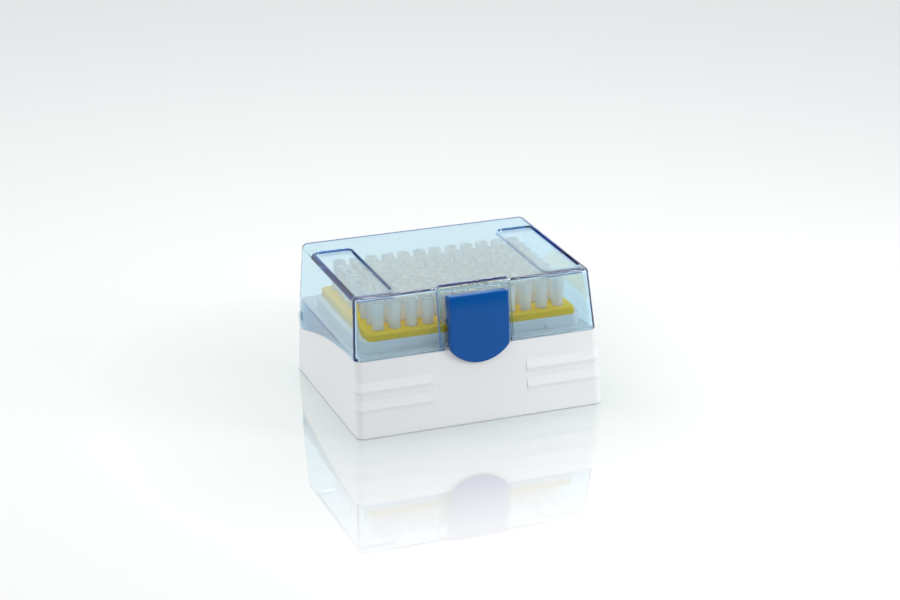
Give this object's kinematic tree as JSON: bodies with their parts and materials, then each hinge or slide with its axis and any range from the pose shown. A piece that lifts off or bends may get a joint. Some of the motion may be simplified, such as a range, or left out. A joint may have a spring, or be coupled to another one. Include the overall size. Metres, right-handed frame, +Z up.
{
  "type": "pipette tip box",
  "caption": "Wedge-sided rack box with a clear flip lid, rocker latch and a drilled tray holding rows of slim hollow pipette tips.",
  "frame": {"origin": "centre of the footprint at floor level", "axes": "+X to the right along the front, +Y to the back (hinge side), +Z up"},
  "size_m": [0.1362, 0.1075, 0.0727],
  "materials": {
    "white_plastic": "fine satin moulded plastic",
    "clear_plastic": "clear, faintly blue, polished",
    "blue_plastic": "glossy dark blue",
    "yellow_plastic": "satin yellow",
    "natural_plastic": "milky translucent"
  },
  "bodies": {
    "base_body": {"base": "white_plastic", "tray": "yellow_plastic", "tips_column_01": "natural_plastic", "tips_column_02": "natural_plastic", "tips_column_03": "natural_plastic", "tips_column_04": "natural_plastic", "tips_column_05": "natural_plastic", "tips_column_06": "natural_plastic", "tips_column_07": "natural_plastic", "tips_column_08": "natural_plastic", "tips_column_09": "natural_plastic", "tips_column_10": "natural_plastic", "tips_column_11": "natural_plastic", "tips_column_12": "natural_plastic"},
    "lid_body": {"lid": "clear_plastic"},
    "latch_body": {"latch": "blue_plastic"}
  },
  "joints": [
    {"name": "lid_hinge", "type": "hinge", "parent": "base_body", "child": "lid_body", "pos_m": [0, 0.0472, 0.0309], "axis": [-1, 0, 0], "range_deg": [0, 105]},
    {"name": "latch_rocker", "type": "hinge", "parent": "lid_body", "child": "latch_body", "pos_m": [0, -0.04463, 0.05437], "axis": [-1, 0, 0], "range_deg": [0, 8], "stiffness_Nm_per_rad": 0.7}
  ]
}
